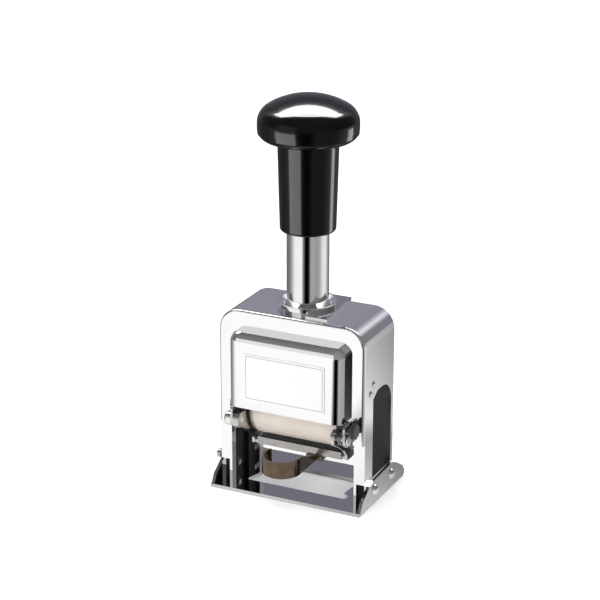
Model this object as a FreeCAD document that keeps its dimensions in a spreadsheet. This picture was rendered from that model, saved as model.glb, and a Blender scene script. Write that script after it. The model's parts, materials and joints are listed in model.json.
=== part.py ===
"""Numbering machine: a hand stamp whose number wheels come down inside a steel arch.

Frame: origin on the paper, at the centre of the print, under the plunger's axis.
+X runs along the machine's front to the right, -Y is the front, +Z is up.
"""
import FreeCAD, Part
import math
import os

import Sketcher

SIZES = {
    # Steel arch
    "leg_wide": 4.8, "frame_deep": 14.4, "crown": 7.1, "frame_round": 9.0, "sheet": 1.2, "arch_edge": 0.7,
    "opening_rise": 17.5, "opening_round": 3.5, "lip_deep": 3.4, "lip_wide": 1.1,
    "foot_cut": 10.5, "foot_notch": 2.0, "slot_front": 6.8, "slot_rear": 11.7, "slot_top": 48.0,
    "slot_foot": 11.0, "slot_slope_run": 4.4, "slot_slope_drop": 2.6, "slot_round": 9.3,
    # Base plate, ears and their screws
    "plate_thick": 1.5, "ear_thick": 1.4, "plate_front": 22.1, "plate_rear": 20.0, "window_front": 11.7,
    "window_rear": 7.8, "window_left": 22.3, "window_skew": 5.3, "window_right": 22.7,
    "pointer_reach": 2.8, "pointer_back": 5.2, "pointer_base": 2.5, "window_round": 1.2,
    "ear_front": 22.0, "ear_rear": 24.6, "ear_high": 11.0, "ear_round": 1.5,
    "screw_front": 6.7, "screw_rear": 10.2, "screw_up": 6.1, "screw_tail": 1.0,
    "screw_shank": 1.25, "screw_head": 2.3, "screw_head_high": 1.5, "nut_half": 2.2, "nut_thick": 1.3,
    # Guide liners behind the side slots
    "liner_thick": 2.3, "groove_half": 3.3, "groove_deep": 1.3,
    "rivet_front": 7.0, "rivet_up": 51.9, "rivet_second_front": 9.8, "rivet_second_up": 48.6,
    "rivet_shank": 0.9, "rivet_head": 1.6, "rivet_head_high": 0.8, "stud_front": 11.6, "stud_up": 11.0,
    "stud_half": 1.8, "stud_head_long": 1.7, "stud_neck_long": 1.5, "stud_round": 0.6,
    # Front cover, the panel pressed out of it, and its label plate
    "cover_thick": 1.3, "cover_edge": 1.1, "cover_clear": 4.0, "cover_leg": 10.0, "cover_wall": 1.0,
    "panel_side": 2.2, "panel_head": 0.6, "panel_out": 6.3, "panel_trim": 0.7, "panel_round": 5.2,
    "panel_square": 1.0, "label_border": 7.6, "label_low": 4.15, "label_head": 8.05, "label_thick": 0.3,
    # Collar and lock plate
    "collar_neck": 10.4, "collar_rim": 12.1, "collar_lip": 11.1, "collar_high": 1.75, "cone_deep": 2.2,
    "barrel_long": 7.6, "ring_nut_half": 12.8, "ring_nut_thick": 3.0, "lock_thick": 1.4,
    "lock_right": 15.0, "lock_slant": 2.2, "lock_left": 9.0, "lock_front": 13.9, "lock_rear": 14.6,
    "lock_tail": 5.5,
    # Plunger tube and its inside
    "tube_half": 8.64, "tube_wall": 1.2, "tube_short": 9.5, "bar_half": 1.7, "bar_tall": 2.6,
    "washer_thick": 1.2, "plug_long": 12.0, "handle_bolt": 2.5, "spring_wire": 1.3, "spring_room": 1.64,
    "spring_turns": 15,
    # Handle
    "grip_clear": 8.2, "grip_long": 36.0, "grip_low_half": 11.35, "grip_top_half": 12.3,
    "grip_round": 1.1, "knob_half": 20.3, "knob_neck": 5.7, "band_high": 2.5, "dome_high": 11.1,
    "dome_round": 7.5, "under_deep": 6.1, "under_round": 4.5, "seam_drop": 2.0, "seam_step": 0.4,
    "spigot_half": 11.0, "spigot_high": 4.0, "bolt_head": 4.2, "bolt_head_high": 3.0,
    # Number wheels and their case
    "wheel_up": 34.0, "type_half": 12.5, "wheel_pitch": 4.2, "wheel_count": 8, "wheel_gap": 0.3,
    "type_wide": 2.8, "type_block": 2.7, "type_deep": 1.1, "ratchet_drop": 1.9, "tooth_deep": 0.9,
    "ratchet_thick": 1.1, "shaft_half": 2.5, "case_room": 0.35, "case_sheet": 1.2, "case_foot": 2.8,
    "lobe_rise": 2.5, "case_front": 9.5, "case_rear": 0.9, "case_tall": 16.0, "bridge_thick": 3.0,
    "shoe_wide": 3.6, "shoe_foot": 2.0, "clip_half": 4.0, "clip_thick": 0.5, "tie_out": 1.5, "tie_turn": 31.0,
    "tie_half": 1.0, "guard_room": 0.7, "guard_thick": 0.7, "guard_low": 11.4, "guard_high": 2.0,
    "flange_half": 12.2, "flange_thick": 1.1, "flange_bolt_out": 7.9, "flange_bolt": 1.2,
    "flange_bolt_head": 2.1,
    # Detent comb and pawl swing, about the wheel shaft
    "detent_turn": 32.0, "detent_gap": 0.8, "detent_rod": 1.5, "finger_gap": 0.35, "finger_thick": 0.8,
    "finger_half": 0.9, "pawl_turn": -20.0, "pawl_gap": 0.55, "pawl_rod": 0.95, "yoke_sheet": 1.0,
    "yoke_hub": 5.0, "yoke_arm_half": 2.0, "comb_rise": 1.0, "comb_gap": 0.4, "comb_thick": 0.8,
    # Pad arm and its pivots
    "pivot_ahead": 4.6, "pivot_drop": 2.6, "pin_half": 1.2, "boss_half": 3.4, "arm_room": 1.0,
    "arm_sheet": 1.2, "boss_long": 1.9, "left_boss_long": 2.7, "tray_room": 1.5, "tray_front": 8.0,
    "tray_rear": 5.5, "tray_high": 3.2, "tray_sheet": 0.9, "pad_proud": 1.2,
    "loop_centre": 24.0, "loop_half": 7.3, "strip_thick": 0.8, "loop_drop": 2.1, "loop_high": 7.0,
    "loop_end_turn": 150.0, "tab_left": 3.7, "tab_right": 2.5, "tab_deep": 5.0, "loop_rivet": 0.8,
    "neck_start": 2.0, "lug_sheet": 1.0, "lug_half": 3.0, "lug_corner": 1.5, "lug_gap": 0.3, "lug_room": 0.7,
    "coil_room": 0.375, "lug_behind": 0.9, "cap_long": 3.3, "cap_half": 3.0, "cap_round": 1.2,
    "head_long": 0.65, "head_half": 2.3, "coil_wire": 0.5, "coil_mean": 2.3, "coil_pitch": 0.93,
    "coil_turns": 2.5, "coil_leg": 6.0,
    # Selector knob
    "dial_rise": 4.45, "dial_half": 3.2, "dial_gap": 2.0, "dial_thick": 2.0,
    "dial_stub": 1.0, "flute_half": 0.4, "flute_count": 16, "dial_round": 0.5,
    # Shared clearances
    "fit": 0.06, "hole_gap": 0.05, "press_gap": 0.03, "side_gap": 0.1, "free_gap": 0.3, "overrun": 1.0,
}

doc = FreeCAD.newDocument("numbering_machine")
sheet = doc.addObject("Spreadsheet::Sheet", "Sizes")


class Size:
    """A length, angle or count, with the spreadsheet formula that gives it."""

    def __init__(self, value, formula):
        self.value = value
        self.formula = formula

    def __add__(self, other):
        other = as_size(other)
        return Size(self.value + other.value, f"({self.formula} + {other.formula})")

    def __sub__(self, other):
        other = as_size(other)
        return Size(self.value - other.value, f"({self.formula} - {other.formula})")

    def __mul__(self, other):
        other = as_size(other)
        return Size(self.value * other.value, f"({self.formula} * {other.formula})")

    def __truediv__(self, other):
        other = as_size(other)
        return Size(self.value / other.value, f"({self.formula} / {other.formula})")

    def __radd__(self, other):
        return as_size(other) + self

    def __rsub__(self, other):
        return as_size(other) - self

    def __rmul__(self, other):
        return as_size(other) * self

    def __neg__(self):
        return as_size(0) - self


def as_size(number):
    """A Size as it is, or a plain number made into one."""
    return number if isinstance(number, Size) else Size(number, f"({number})")


def root(size):
    return Size(math.sqrt(size.value), f"sqrt({size.formula})")


def sine(degrees):
    return Size(math.sin(math.radians(degrees.value)), f"sin({degrees.formula})")


def cosine(degrees):
    return Size(math.cos(math.radians(degrees.value)), f"cos({degrees.formula})")


def fill_sheet():
    """Write every size into the spreadsheet and return them by name."""
    for row, (name, number) in enumerate(SIZES.items(), start=1):
        sheet.set(f"A{row}", name)
        sheet.set(f"B{row}", str(number))
        sheet.setAlias(f"B{row}", name)
    doc.recompute()
    return {name: Size(float(sheet.get(name)), f"Sizes.{name}") for name in SIZES}


size = type("Sizes", (), fill_sheet())


def bind(thing, path, value):
    thing.setExpression(path, as_size(value).formula)


def new_body(name):
    body = doc.addObject("PartDesign::Body", name)
    body.Label = name
    return body


def mirror_piece(source, name):
    """The same piece on the machine's other side."""
    piece = doc.addObject("Part::Mirroring", name)
    piece.Source = source
    piece.Normal = FreeCAD.Vector(1, 0, 0)
    piece.Label = name
    return piece


def sketch_on(body, axis, level, across=0, up=0):
    """A sketch square to an axis at a level, with its own zero at (across, up)."""
    role = {"x": "YZ_Plane", "y": "XZ_Plane", "z": "XY_Plane"}[axis]
    plane = next(item for item in body.Origin.OriginFeatures if item.Role == role)
    sketch = body.newObject("Sketcher::SketchObject", "Sketch")
    sketch.AttachmentSupport = (plane, "")
    sketch.MapMode = "FlatFace"
    bind(sketch, "AttachmentOffset.Base.x", across)
    bind(sketch, "AttachmentOffset.Base.y", up)
    bind(sketch, "AttachmentOffset.Base.z", -as_size(level) if axis == "y" else level)
    return sketch


def fix_point(sketch, edge, end, across, up):
    """Hold one end of an edge, or a circle's centre, at its place."""
    for kind, axis_line, value in (("DistanceX", -2, across), ("DistanceY", -1, up)):
        if isinstance(value, Size):
            index = sketch.addConstraint(Sketcher.Constraint(kind, -1, 1, edge, end, value.value))
            bind(sketch, f"Constraints[{index}]", value)
        else:
            sketch.addConstraint(Sketcher.Constraint("PointOnObject", edge, end, axis_line))


def add_arc(sketch, start, end, radius, turn):
    """An arc of under half a circle, turn 1 to the left and -1 to the right."""
    middle = (start + end) / 2
    chord = end - start
    rise = math.sqrt(max(radius ** 2 - (chord.Length / 2) ** 2, 0))
    normal = FreeCAD.Vector(-chord.y, chord.x, 0).normalize()
    centre = middle + normal * rise * turn
    first, last = (start, end) if turn > 0 else (end, start)
    circle = Part.Circle(centre, FreeCAD.Vector(0, 0, 1), radius)
    angles = [math.atan2(point.y - centre.y, point.x - centre.x) for point in (first, last)]
    return sketch.addGeometry(Part.ArcOfCircle(circle, *angles))


def outline(sketch, points):
    """A closed outline. A point is (across, up), or (across, up, radius, turn) before an arc."""
    places = [FreeCAD.Vector(as_size(point[0]).value, as_size(point[1]).value, 0) for point in points]
    ends = []
    for index, point in enumerate(points):
        start = places[index]
        end = places[(index + 1) % len(points)]
        if len(point) == 4:
            edge = add_arc(sketch, start, end, point[2].value, point[3])
            ends.append((edge, 1, 2) if point[3] > 0 else (edge, 2, 1))
            held = sketch.addConstraint(Sketcher.Constraint("Radius", edge, point[2].value))
            bind(sketch, f"Constraints[{held}]", point[2])
        else:
            edge = sketch.addGeometry(Part.LineSegment(start, end))
            ends.append((edge, 1, 2))
    for index, point in enumerate(points):
        edge, start, finish = ends[index]
        following = ends[(index + 1) % len(points)]
        sketch.addConstraint(Sketcher.Constraint("Coincident", edge, finish, following[0], following[1]))
        fix_point(sketch, edge, start, point[0], point[1])


def circle(sketch, across, up, radius):
    centre = FreeCAD.Vector(as_size(across).value, as_size(up).value, 0)
    edge = sketch.addGeometry(Part.Circle(centre, FreeCAD.Vector(0, 0, 1), radius.value))
    held = sketch.addConstraint(Sketcher.Constraint("Radius", edge, radius.value))
    bind(sketch, f"Constraints[{held}]", radius)
    fix_point(sketch, edge, 3, across, up)


def extrude(body, sketch, length, cut):
    kind = "PartDesign::Pocket" if cut else "PartDesign::Pad"
    feature = body.newObject(kind, "Cut" if cut else "Pad")
    feature.Profile = sketch
    feature.Reversed = cut
    bind(feature, "Length", length)
    body.Tip = feature
    return feature


def slab(body, axis, low, high, *outlines, cut=False, across=0, up=0):
    """Flat stock between two levels along an axis, or the same shape cut away."""
    sketch = sketch_on(body, axis, high if axis == "y" else low, across, up)
    for points in outlines:
        outline(sketch, points)
    return extrude(body, sketch, as_size(high) - low, cut)


def rod(body, axis, low, high, across, up, radius, bore=None, cut=False):
    """Round stock, or a round hole, between two levels along an axis."""
    sketch = sketch_on(body, axis, high if axis == "y" else low, across, up)
    circle(sketch, 0, 0, radius)
    if bore:
        circle(sketch, 0, 0, bore)
    return extrude(body, sketch, as_size(high) - low, cut)


def turned(body, axis, points, across=0, up=0):
    """A turned piece. Points are (radius, height) about Z, or (place, radius) about X."""
    sketch = sketch_on(body, "y", 0) if axis == "z" else sketch_on(body, "z", up, 0, across)
    outline(sketch, points)
    feature = body.newObject("PartDesign::Revolution", "Revolution")
    feature.Profile = sketch
    feature.ReferenceAxis = (sketch, ["V_Axis" if axis == "z" else "H_Axis"])
    feature.Angle = 360
    body.Tip = feature
    return feature


def round_edges(body, radius, wanted):
    """Round the edges of the body's last shape that a test picks."""
    doc.recompute()
    base = body.Tip
    names = [f"Edge{index}" for index, edge in enumerate(base.Shape.Edges, start=1) if wanted(edge)]
    feature = body.newObject("PartDesign::Fillet", "Fillet")
    feature.Base = (base, names)
    bind(feature, "Radius", radius)
    body.Tip = feature


def on_corner(axis, spots):
    """A test for straight edges along an axis that pass through one of the spots."""
    near = 0.01

    def wanted(edge):
        first, last = (vertex.Point for vertex in (edge.Vertexes[0], edge.Vertexes[-1]))
        run = last - first
        along = {"x": run.x, "y": run.y, "z": run.z}[axis]
        if run.Length < near or abs(abs(along) - run.Length) > near:
            return False
        place = {"x": (first.y, first.z), "y": (first.x, first.z), "z": (first.x, first.y)}[axis]
        return any(math.dist(place, (spot[0].value, spot[1].value)) < near for spot in spots)

    return wanted


def on_level(axis, level):
    """A test for edges that lie flat at a level along an axis."""
    near = 0.01

    def wanted(edge):
        box = edge.BoundBox
        low, high = {"x": (box.XMin, box.XMax), "y": (box.YMin, box.YMax), "z": (box.ZMin, box.ZMax)}[axis]
        return abs(low - level.value) < near and abs(high - level.value) < near

    return wanted


def repeat_along_x(body, feature, pitch, count):
    pattern = body.newObject("PartDesign::LinearPattern", "LinearPattern")
    pattern.Originals = [feature]
    axis = next(item for item in body.Origin.OriginFeatures if item.Role == "X_Axis")
    pattern.Direction = (axis, [""])
    bind(pattern, "Length", pitch * (count - 1))
    bind(pattern, "Occurrences", count)
    body.Tip = pattern


def repeat_round(body, feature, count):
    pattern = body.newObject("PartDesign::PolarPattern", "PolarPattern")
    pattern.Originals = [feature]
    pattern.Axis = (feature.Profile[0], ["N_Axis"])
    pattern.Angle = 360
    bind(pattern, "Occurrences", count)
    body.Tip = pattern


def repeat_mirrored(body, features):
    mirrored = body.newObject("PartDesign::Mirrored", "Mirrored")
    mirrored.Originals = features
    plane = next(item for item in body.Origin.OriginFeatures if item.Role == "YZ_Plane")
    mirrored.MirrorPlane = (plane, [""])
    body.Tip = mirrored


def box_points(left, right, low, high):
    return [(left, low), (right, low), (right, high), (left, high)]


def arch_points(half, low, top, radius):
    """An upright opening with square feet and two round top corners."""
    return [(-half, low), (half, low), (half, top - radius, radius, 1), (half - radius, top),
            (-half + radius, top, radius, 1), (-half, top - radius)]


def hexagon_points(half):
    """A hexagon by the distance of its flats from the centre."""
    corner = half / root(as_size(3)) * 2
    return [(corner, 0), (corner / 2, half), (-corner / 2, half), (-corner, 0),
            (-corner / 2, -half), (corner / 2, -half)]


# Places that several pieces share, worked out from the number wheels outwards
wheels_half = size.wheel_pitch * size.wheel_count / 2 - size.wheel_gap / 2
case_inner = wheels_half + size.free_gap + size.yoke_sheet + size.case_room
case_outer = case_inner + size.case_sheet
arm_inner = case_outer + size.arm_room
arm_outer = arm_inner + size.arm_sheet
tray_half = arm_inner - size.tray_room
left_lug_outer = arm_inner + size.left_boss_long + size.side_gap + size.lug_sheet
coil_long = size.coil_pitch * size.coil_turns + size.coil_wire
right_lug_outer = arm_inner + size.boss_long + size.free_gap + coil_long + size.coil_room + size.lug_sheet
opening_half = right_lug_outer + size.lug_room
frame_half = opening_half + size.leg_wide
plate_half = frame_half + size.ear_thick
wall_inner = frame_half - size.sheet
liner_inner = wall_inner - size.liner_thick
bridge_half = liner_inner - size.free_gap
shoe_inner = bridge_half - size.shoe_wide
dial_inner = right_lug_outer + size.dial_gap
panel_half = opening_half - size.panel_side

# Depths
case_round = size.type_half + size.guard_room + size.guard_thick
tie_reach = size.type_half + size.tie_out
tie_back = tie_reach * cosine(size.tie_turn)
case_back = tie_back + size.tie_half + size.case_rear
lip_rear = -size.frame_deep + size.lip_deep
bridge_rear = size.frame_deep - size.lip_deep - size.free_gap
cover_front = size.frame_deep + size.cover_thick
panel_front = cover_front + size.panel_out
pivot_front = size.frame_deep + size.pivot_ahead
dial_front = cover_front + size.free_gap + size.dial_half

# Heights
stroke = size.wheel_up - size.type_half
detent_out = size.type_half + size.detent_rod + size.detent_gap
pawl_out = size.type_half + size.pawl_rod + size.pawl_gap
comb_top = pawl_out + size.comb_rise
disc_half = size.type_half - size.type_deep
ratchet_half = disc_half - size.ratchet_drop
finger_tip = ratchet_half + size.finger_gap
tie_up = size.wheel_up - tie_reach * sine(size.tie_turn)
pad_top = stroke - size.free_gap
tray_lip = pad_top - size.pad_proud
tray_foot = tray_lip - size.tray_high
loop_foot = tray_foot - size.loop_drop
pivot_up = size.wheel_up - size.pivot_drop
dial_up = pivot_up + size.dial_rise
bridge_foot = size.wheel_up + size.case_tall
bridge_top = bridge_foot + size.bridge_thick
liner_top = bridge_top + size.flange_thick + size.free_gap
bar_foot = liner_top
bar_top = bar_foot + size.bar_tall
washer_top = bar_top + size.washer_thick
opening_top = bridge_top + size.opening_rise
frame_top = opening_top + size.crown
panel_top = opening_top - size.panel_head
cover_foot = size.wheel_up + size.cover_clear
lug_top = cover_foot - size.lug_gap
lock_foot = frame_top + size.side_gap / 4
collar_seat = lock_foot + size.lock_thick + size.side_gap / 4
collar_top = collar_seat + size.collar_high
grip_foot = collar_top + stroke + size.grip_clear
grip_top = grip_foot + size.grip_long
tube_top = grip_top - size.tube_short
plug_foot = tube_top - size.plug_long
knob_low = grip_top + size.knob_neck
knob_equator = knob_low + size.band_high
seam_up = knob_low - size.seam_drop
screw_places = [(-size.screw_front, size.screw_up), (size.screw_rear, size.screw_up)]
rivet_places = [(-size.rivet_front, size.rivet_up), (-size.rivet_second_front, size.rivet_second_up)]


def make_frame():
    """Bent sheet arch: shell, front and rear openings with folded lips, side slots and feet."""
    body = new_body("frame")
    deep = size.frame_deep
    inner_round = size.frame_round - size.sheet
    slab(body, "y", -deep, deep, arch_points(frame_half, size.plate_thick, frame_top, size.frame_round))
    rim = on_level("y", deep)
    round_edges(body, size.arch_edge, lambda edge: rim(edge) and edge.BoundBox.ZMax > size.foot_cut.value)
    inner = arch_points(wall_inner, size.plate_thick, frame_top - size.sheet, inner_round)
    slab(body, "y", -deep + size.sheet, deep - size.sheet, inner, cut=True)
    opening = arch_points(opening_half, size.plate_thick, opening_top, size.opening_round)
    slab(body, "y", -deep - size.overrun, deep + size.overrun, opening, cut=True)
    lip_outer = arch_points(opening_half + size.lip_wide, size.plate_thick,
                            opening_top + size.lip_wide, size.opening_round + size.lip_wide)
    lip = lip_outer[1:] + lip_outer[:1] + opening[:1]
    lip += [(-opening_half, opening_top - size.opening_round, size.opening_round, -1),
            (-opening_half + size.opening_round, opening_top),
            (opening_half - size.opening_round, opening_top, size.opening_round, -1),
            (opening_half, opening_top - size.opening_round), opening[1]]
    slab(body, "y", -deep, -deep + size.lip_deep, lip)
    slab(body, "y", deep - size.lip_deep, deep, lip)
    foot_inner = opening_half + size.lip_wide
    foot = box_points(foot_inner, frame_half + size.overrun, 0, size.foot_cut)
    front = slab(body, "y", -deep - size.overrun, -deep + size.foot_notch, foot, cut=True)
    rear = slab(body, "y", deep - size.foot_notch, deep + size.overrun, foot, cut=True)
    slope_front = (-size.slot_front, size.slot_top - size.slot_slope_drop)
    slope_top = (-size.slot_front + size.slot_slope_run, size.slot_top)
    slot = [(-size.slot_front, size.slot_foot), (size.slot_rear, size.slot_foot),
            (size.slot_rear, size.slot_top - size.slot_round, size.slot_round, 1),
            (size.slot_rear - size.slot_round, size.slot_top), slope_top, slope_front]
    side = slab(body, "x", wall_inner - size.side_gap, frame_half + size.overrun, slot, cut=True)
    holes = []
    for (across, up), radius in [(place, size.screw_shank) for place in screw_places] + [
            (place, size.rivet_shank) for place in rivet_places]:
        holes.append(rod(body, "x", wall_inner - size.side_gap, frame_half + size.overrun, across, up,
                         radius + size.hole_gap, cut=True))
    repeat_mirrored(body, [front, rear, side] + holes)
    rod(body, "z", frame_top - size.sheet - size.overrun, frame_top + size.overrun, 0, 0,
        size.collar_neck + size.hole_gap, cut=True)
    rod(body, "x", -frame_half - size.overrun, -wall_inner + size.side_gap, -size.stud_front, size.stud_up,
        size.rivet_shank + size.hole_gap, cut=True)
    return body


def make_side_stud():
    """Round-headed stud on the left wall, over the ear's slope."""
    body = new_body("side_stud")
    seat = -frame_half - size.stud_neck_long
    outer = seat - size.stud_head_long
    rod(body, "x", outer, seat, -size.stud_front, size.stud_up, size.stud_half)
    round_edges(body, size.stud_round, on_level("x", outer))
    rod(body, "x", seat, -wall_inner, -size.stud_front, size.stud_up, size.rivet_shank)
    return body


EAR_SHARES = ((-1.0, 0.0), (-0.87, 0.45), (-0.555, 0.86), (-0.37, 0.95),
              (0.42, 1.0), (0.66, 0.79), (0.915, 0.44), (1.0, 0.11), (0.9, 0.0))


def make_base_plate():
    """Flat foot with the print window and its pointer, and an upturned ear at each side."""
    body = new_body("base_plate")
    slab(body, "z", 0, size.plate_thick,
         box_points(-plate_half, plate_half, -size.plate_front, size.plate_rear))
    pointer = size.window_right - size.pointer_reach
    pointer_up = -size.window_front + size.pointer_back
    window = [(-size.window_left, -size.window_front), (size.window_right, -size.window_front),
              (size.window_right, pointer_up - size.pointer_base), (pointer, pointer_up),
              (size.window_right - size.window_round, size.window_rear),
              (-size.window_left + size.window_skew, size.window_rear)]
    slab(body, "z", -size.overrun, size.plate_thick + size.overrun, window, cut=True)
    corners = [window[0], window[1], window[4], window[5]]
    round_edges(body, size.window_round, on_corner("z", corners))
    ear = []
    for across, up in EAR_SHARES:
        reach = size.ear_rear if across > 0 else size.ear_front
        ear.append((reach * across, size.ear_high * up if up else 0))
    right = slab(body, "x", frame_half, plate_half, ear)
    holes = [rod(body, "x", frame_half - size.overrun, plate_half + size.overrun, across, up,
                 size.screw_shank + size.hole_gap, cut=True) for across, up in screw_places]
    repeat_mirrored(body, [right] + holes)
    round_edges(body, size.ear_round, on_corner("x", [ear[5], ear[6], ear[7]]))
    return body


def dome_points(seat, radius, high):
    """Half outline of a domed head that stands out along X from its seat."""
    sphere = (radius * radius + high * high) / (high * 2)
    return [(seat, 0), (seat, radius, sphere, -1), (seat + high, 0)]


def make_ear_screws():
    """Four round-head screws through ears, frame and liners."""
    body = new_body("ear_screws")
    features = []
    for (across, up), tail in zip(screw_places, (size.screw_tail, 0)):
        head = dome_points(plate_half, size.screw_head, size.screw_head_high)
        features.append(turned(body, "x", head, across, up))
        features.append(rod(body, "x", liner_inner - tail, plate_half, across, up, size.screw_shank))
    repeat_mirrored(body, features)
    return body


def make_ear_nuts():
    """Hexagon nuts of the ear screws, let into the liners."""
    body = new_body("ear_nuts")
    features = []
    for across, up in screw_places:
        nut = slab(body, "x", liner_inner, liner_inner + size.nut_thick, hexagon_points(size.nut_half),
                   across=across, up=up)
        hole = rod(body, "x", liner_inner - size.overrun, wall_inner, across, up,
                   size.screw_shank + size.hole_gap, cut=True)
        features += [nut, hole]
    repeat_mirrored(body, features)
    return body


def make_side_liners():
    """Moulded guide plates that line the walls and close the side slots from inside."""
    body = new_body("side_liner_left")
    deep = size.frame_deep - size.sheet - size.side_gap
    slab(body, "x", -wall_inner, -liner_inner, box_points(-deep, deep, size.plate_thick, liner_top))
    groove = box_points(-size.groove_half, size.groove_half, 0, liner_top + size.overrun)
    slab(body, "x", -liner_inner - size.groove_deep, -liner_inner + size.overrun, groove, cut=True)
    for (across, up), radius in [(place, size.screw_shank) for place in screw_places] + [
            (place, size.rivet_shank) for place in rivet_places]:
        rod(body, "x", -wall_inner - size.overrun, -liner_inner + size.overrun, across, up,
            radius + size.hole_gap, cut=True)
    for across, up in screw_places:
        slab(body, "x", -liner_inner - size.nut_thick, -liner_inner + size.overrun,
             hexagon_points(size.nut_half + size.hole_gap), cut=True, across=across, up=up)
    return [body, mirror_piece(body, "side_liner_right")]


def make_wall_rivets():
    """Domed rivets that hold the liners to the walls."""
    body = new_body("wall_rivets")
    features = []
    for across, up in rivet_places:
        head = dome_points(frame_half, size.rivet_head, size.rivet_head_high)
        features.append(turned(body, "x", head, across, up))
        features.append(rod(body, "x", liner_inner, frame_half, across, up, size.rivet_shank))
    repeat_mirrored(body, features)
    return body


def make_front_cover():
    """Arch-shaped plate on the frame's front, with a round-edged hood pressed out of it, open at its foot."""
    body = new_body("front_cover")

    def above_foot(level):
        rim = on_level("y", level)
        return lambda edge: rim(edge) and edge.BoundBox.ZMax > (cover_foot + size.side_gap).value

    arch = arch_points(frame_half, cover_foot - size.cover_leg, frame_top, size.frame_round)
    slab(body, "y", -cover_front, -size.frame_deep, arch)
    round_edges(body, size.cover_edge, above_foot(-cover_front))
    below = cover_foot - size.overrun
    slab(body, "y", -cover_front - size.overrun, -size.frame_deep + size.overrun,
         box_points(-opening_half, opening_half, cover_foot - size.cover_leg - size.overrun, cover_foot),
         cut=True)
    full_half = panel_half + size.panel_trim
    full_top = panel_top + size.panel_trim
    slab(body, "y", -panel_front, -cover_front,
         arch_points(full_half, cover_foot, full_top, size.panel_round + size.free_gap))
    inner_round = size.panel_round - size.cover_wall
    floor = -panel_front + size.cover_wall
    inner = arch_points(panel_half - size.cover_wall, below, panel_top - size.cover_wall,
                        inner_round + size.free_gap)
    slab(body, "y", floor, -size.frame_deep + size.overrun, inner, cut=True)
    round_edges(body, inner_round, above_foot(floor))
    round_edges(body, size.panel_round, above_foot(-panel_front))
    waste = box_points(-full_half - size.overrun, full_half + size.overrun, below, full_top + size.overrun)
    trimmed_corner = size.panel_round - size.panel_trim - size.panel_square
    trimmed = arch_points(panel_half, cover_foot - size.free_gap, panel_top, trimmed_corner)
    slab(body, "y", -panel_front - size.overrun, -cover_front, waste, trimmed, cut=True)
    return body


def make_label_plate():
    body = new_body("label_plate")
    label_half = panel_half - size.label_border
    slab(body, "y", -panel_front - size.label_thick, -panel_front,
         box_points(-label_half, label_half, cover_foot + size.label_low, panel_top - size.label_head))
    return body


def make_collar():
    """Guide bush with a countersunk cup rim on the frame's top."""
    body = new_body("collar")
    bore = size.tube_half + size.fit
    barrel_foot = frame_top - size.barrel_long
    turned(body, "z", [(bore, barrel_foot), (size.collar_neck, barrel_foot), (size.collar_neck, collar_seat),
                       (size.collar_rim, collar_seat), (size.collar_rim, collar_top),
                       (size.collar_lip, collar_top), (bore, collar_top - size.cone_deep)])
    round_edges(body, size.side_gap * 3, on_level("z", collar_top))
    return body


def make_collar_nut():
    """Ring nut that clamps the collar from inside the frame."""
    body = new_body("collar_nut")
    top = frame_top - size.sheet
    slab(body, "z", top - size.ring_nut_thick, top, hexagon_points(size.ring_nut_half))
    rod(body, "z", top - size.ring_nut_thick - size.overrun, top + size.overrun, 0, 0,
        size.collar_neck + size.press_gap, cut=True)
    return body


def make_lock_plate():
    """Flat sliding catch beside the collar, under its rim."""
    body = new_body("lock_plate")
    reach = size.collar_neck + size.free_gap + size.side_gap * 2
    tail_up = -root(reach * reach - size.lock_tail * size.lock_tail)
    points = [(-size.lock_left, size.lock_rear), (-size.lock_left, reach), (0, reach, reach, -1),
              (reach, 0, reach, -1), (size.lock_tail, tail_up), (size.lock_tail, -size.lock_front),
              (size.lock_right, -size.lock_front), (size.lock_right - size.lock_slant, size.lock_rear)]
    slab(body, "z", lock_foot, lock_foot + size.lock_thick, points)
    return body


def make_spring_seat():
    """Cross bar through the plunger's slots, and the washer that the main spring stands on."""
    bar = new_body("spring_bar")
    slab(bar, "x", -wall_inner, wall_inner, box_points(-size.bar_half, size.bar_half, bar_foot, bar_top))
    washer = new_body("spring_washer")
    rod(washer, "z", bar_top, washer_top, 0, 0, size.tube_half - size.tube_wall - size.free_gap)
    return [bar, washer]


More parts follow.
